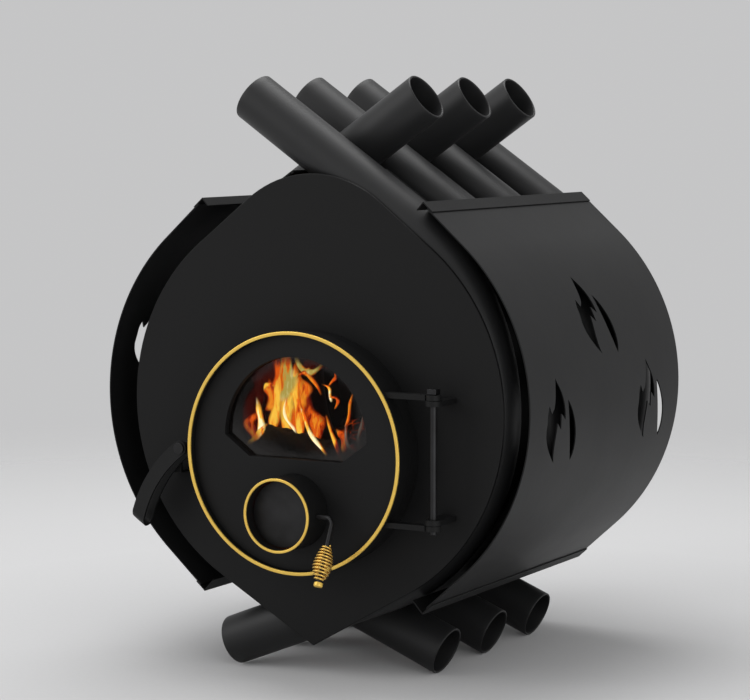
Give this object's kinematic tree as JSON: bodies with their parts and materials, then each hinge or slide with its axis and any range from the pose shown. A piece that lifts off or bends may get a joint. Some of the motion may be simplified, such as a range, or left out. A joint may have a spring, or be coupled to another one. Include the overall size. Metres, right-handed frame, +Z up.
{
  "type": "convection wood stove",
  "caption": "Drum-shaped convection wood stove of bent air tubes, with curved side casings, a round glazed door with a damped air inlet, a latch, and a damped flue collar at the back.",
  "frame": {"origin": "on the floor under the middle of the drum", "axes": "+X to the right of someone facing the door, +Y from the door to the flue, +Z up"},
  "size_m": [0.5444, 0.6264, 0.6794],
  "materials": {
    "stove_paint": "matte heat-resistant paint",
    "tube_paint": "matte heat-resistant paint",
    "casing_paint": "satin heat-resistant paint",
    "handle_paint": "matte heat-resistant paint",
    "bright_trim": "polished",
    "steel_pin": "dark",
    "damper_steel": "satin",
    "rope": "knitted glass fibre",
    "fire_glass": "clear heat-resistant"
  },
  "bodies": {
    "stove": {"front_plate": "stove_paint", "rear_plate": "stove_paint", "air_tube_right_1": "tube_paint", "air_tube_right_2": "tube_paint", "air_tube_right_3": "tube_paint", "air_tube_right_4": "tube_paint", "air_tube_left_1": "tube_paint", "air_tube_left_2": "tube_paint", "air_tube_left_3": "tube_paint", "wall_panels_right": "stove_paint", "wall_panels_left": "stove_paint", "baffle_plate": "stove_paint", "injectors": "stove_paint", "door_neck": "stove_paint", "hinge_lugs": "stove_paint", "hinge_pin": "steel_pin", "latch_keeper": "stove_paint", "casing_right": "casing_paint", "casing_left": "casing_paint", "trim_top_right": "stove_paint", "trim_top_left": "stove_paint", "trim_bottom_right": "stove_paint", "trim_bottom_left": "stove_paint", "flue_collar": "stove_paint"},
    "door": {"door_band": "stove_paint", "door_face": "stove_paint", "door_rim_trim": "bright_trim", "rope_retainer": "stove_paint", "door_seal": "rope", "window_frame": "stove_paint", "window_glass": "fire_glass", "glass_clips": "stove_paint", "clip_nuts": "steel_pin", "inlet_tube": "stove_paint", "inlet_rim_trim": "bright_trim", "hinge_arm_upper": "stove_paint", "hinge_arm_lower": "stove_paint", "latch_ear": "stove_paint", "latch_pin": "steel_pin"},
    "latch": {"latch_handle": "handle_paint", "latch_hub": "handle_paint", "latch_tongue": "handle_paint"},
    "inlet_damper": {"inlet_damper_disc": "damper_steel", "inlet_damper_rod": "steel_pin", "inlet_grip_coil": "bright_trim", "inlet_grip_cap": "bright_trim"},
    "flue_damper": {"flue_damper_disc": "damper_steel", "flue_damper_rod": "steel_pin", "flue_grip_cap": "bright_trim"}
  },
  "joints": [
    {"name": "door_hinge", "type": "hinge", "parent": "stove", "child": "door", "pos_m": [0.172, -0.2497, 0.26162], "axis": [0, 0, 1], "range_deg": [0, 110]},
    {"name": "latch_turn", "type": "hinge", "parent": "door", "child": "latch", "pos_m": [-0.151, -0.2447, 0.25762], "axis": [0, 1, 0], "range_deg": [-25, 60]},
    {"name": "inlet_damper_turn", "type": "hinge", "parent": "door", "child": "inlet_damper", "pos_m": [0, -0.2757, 0.19692], "axis": [1, 0, 0], "range_deg": [-90, 0]},
    {"name": "flue_damper_turn", "type": "hinge", "parent": "stove", "child": "flue_damper", "pos_m": [0, 0.2437, 0.43342], "axis": [1, 0, 0], "range_deg": [0, 90]}
  ]
}
